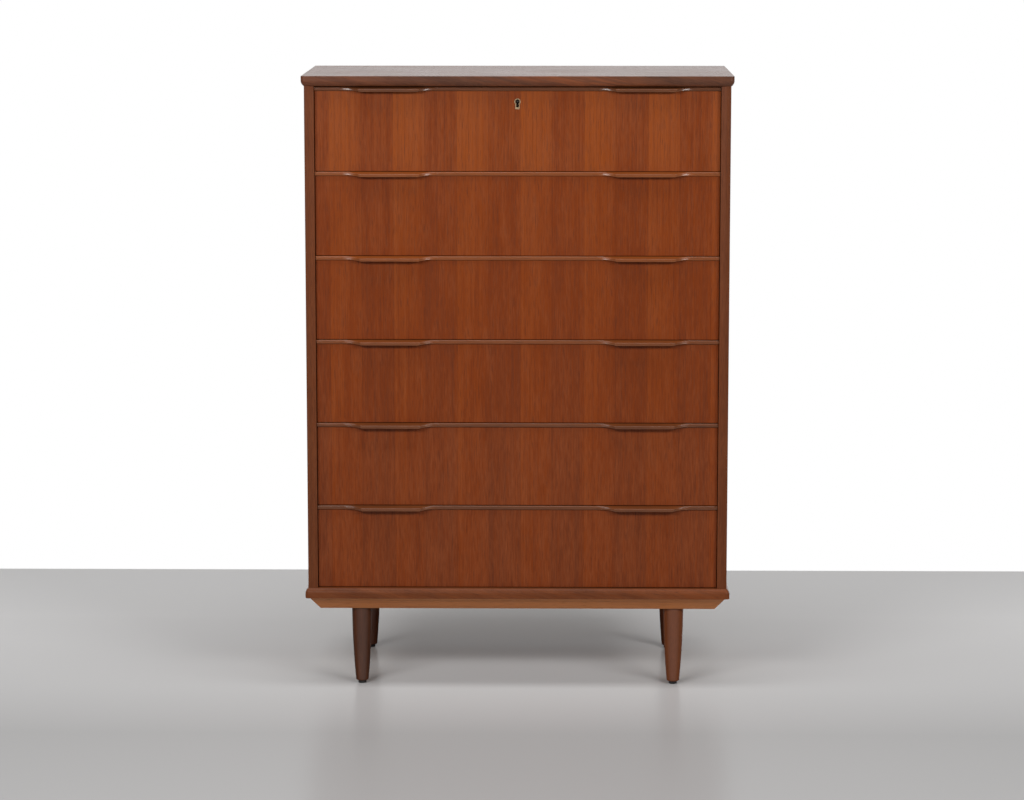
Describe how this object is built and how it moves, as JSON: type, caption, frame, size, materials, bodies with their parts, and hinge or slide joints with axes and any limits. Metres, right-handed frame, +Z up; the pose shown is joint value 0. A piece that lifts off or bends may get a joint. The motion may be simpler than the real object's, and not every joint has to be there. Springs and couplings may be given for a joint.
{
  "type": "tall chest of drawers",
  "caption": "Tall wooden chest of sliding drawers with carved lip pulls, moulded top and bottom edges, a lockable top drawer and tapered turned legs.",
  "frame": {"origin": "on the floor under the middle of the chest", "axes": "+X to the chest's right seen from the front, +Y to its back, +Z up; the drawers open towards -Y"},
  "size_m": [0.9, 0.43, 1.3],
  "materials": {
    "front_veneer": "satin lacquered veneer",
    "case_wood": "satin lacquered veneer",
    "solid_wood": "satin lacquered",
    "drawer_wood": "sanded and waxed",
    "drawer_board": "thin plywood",
    "back_board": "plywood",
    "brass": "worn polish",
    "lock_steel": "brushed",
    "screw_steel": "plain",
    "glide_plastic": "matt"
  },
  "bodies": {
    "case": {"top_panel": "case_wood", "bottom_panel": "case_wood", "right_side_panel": "case_wood", "left_side_panel": "case_wood", "back_panel": "back_board", "case_dowels": "drawer_wood", "drawer_runners": "drawer_wood", "wood_screws": "screw_steel", "lock_strike": "brass", "base_front_rail": "solid_wood", "base_right_rail": "solid_wood", "base_left_rail": "solid_wood", "base_back_rail": "solid_wood", "leg_bearers": "drawer_wood", "leg_bolts": "screw_steel", "front_left_leg": "solid_wood", "front_right_leg": "solid_wood", "back_left_leg": "solid_wood", "back_right_leg": "solid_wood", "foot_glides": "glide_plastic"},
    "drawer_1": {"drawer_1_front": "front_veneer", "drawer_1_pull_rail": "solid_wood", "drawer_1_left_side": "drawer_wood", "drawer_1_right_side": "drawer_wood", "drawer_1_back": "drawer_wood", "drawer_1_bottom": "drawer_board", "keyhole_liner": "brass", "lock_case": "lock_steel", "lock_screws": "brass"},
    "drawer_2": {"drawer_2_front": "front_veneer", "drawer_2_pull_rail": "solid_wood", "drawer_2_left_side": "drawer_wood", "drawer_2_right_side": "drawer_wood", "drawer_2_back": "drawer_wood", "drawer_2_bottom": "drawer_board"},
    "drawer_3": {"drawer_3_front": "front_veneer", "drawer_3_pull_rail": "solid_wood", "drawer_3_left_side": "drawer_wood", "drawer_3_right_side": "drawer_wood", "drawer_3_back": "drawer_wood", "drawer_3_bottom": "drawer_board"},
    "drawer_4": {"drawer_4_front": "front_veneer", "drawer_4_pull_rail": "solid_wood", "drawer_4_left_side": "drawer_wood", "drawer_4_right_side": "drawer_wood", "drawer_4_back": "drawer_wood", "drawer_4_bottom": "drawer_board"},
    "drawer_5": {"drawer_5_front": "front_veneer", "drawer_5_pull_rail": "solid_wood", "drawer_5_left_side": "drawer_wood", "drawer_5_right_side": "drawer_wood", "drawer_5_back": "drawer_wood", "drawer_5_bottom": "drawer_board"},
    "drawer_6": {"drawer_6_front": "front_veneer", "drawer_6_pull_rail": "solid_wood", "drawer_6_left_side": "drawer_wood", "drawer_6_right_side": "drawer_wood", "drawer_6_back": "drawer_wood", "drawer_6_bottom": "drawer_board"},
    "bolt": {"lock_bolt": "brass"}
  },
  "joints": [
    {"name": "drawer_1_slide", "type": "slide", "parent": "case", "child": "drawer_1", "axis": [0, -1, 0], "range_m": [0, 0.3]},
    {"name": "drawer_2_slide", "type": "slide", "parent": "case", "child": "drawer_2", "axis": [0, -1, 0], "range_m": [0, 0.3]},
    {"name": "drawer_3_slide", "type": "slide", "parent": "case", "child": "drawer_3", "axis": [0, -1, 0], "range_m": [0, 0.3]},
    {"name": "drawer_4_slide", "type": "slide", "parent": "case", "child": "drawer_4", "axis": [0, -1, 0], "range_m": [0, 0.3]},
    {"name": "drawer_5_slide", "type": "slide", "parent": "case", "child": "drawer_5", "axis": [0, -1, 0], "range_m": [0, 0.3]},
    {"name": "drawer_6_slide", "type": "slide", "parent": "case", "child": "drawer_6", "axis": [0, -1, 0], "range_m": [0, 0.3]},
    {"name": "bolt_slide", "type": "slide", "parent": "drawer_1", "child": "bolt", "axis": [0, 0, 1], "range_m": [0, 0.009]}
  ]
}
